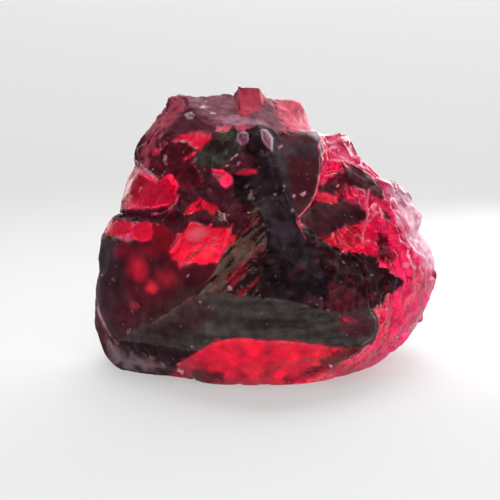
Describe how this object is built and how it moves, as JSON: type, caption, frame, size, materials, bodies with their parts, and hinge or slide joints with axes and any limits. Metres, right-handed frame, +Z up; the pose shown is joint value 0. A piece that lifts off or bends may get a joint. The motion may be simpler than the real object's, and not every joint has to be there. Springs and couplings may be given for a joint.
{
  "type": "rough garnet",
  "caption": "Rough clear red garnet crystal with a stepped crown, a scooped dark front, a frosted shoulder and a flat foot to rest on.",
  "frame": {"origin": "middle of the bounding box at the foot, on the surface that the stone rests on", "axes": "+X along the stone's width, to the right as seen from its front; -Y towards its front; +Z up"},
  "size_m": [0.0182, 0.0124, 0.0143],
  "materials": {
    "garnet": "clear deep red stone, glassy breaks, frosted along the crown and the right shoulder, dark grey film on the middle of the front"
  },
  "bodies": {
    "root": {"rough_garnet": "garnet"}
  },
  "joints": []
}
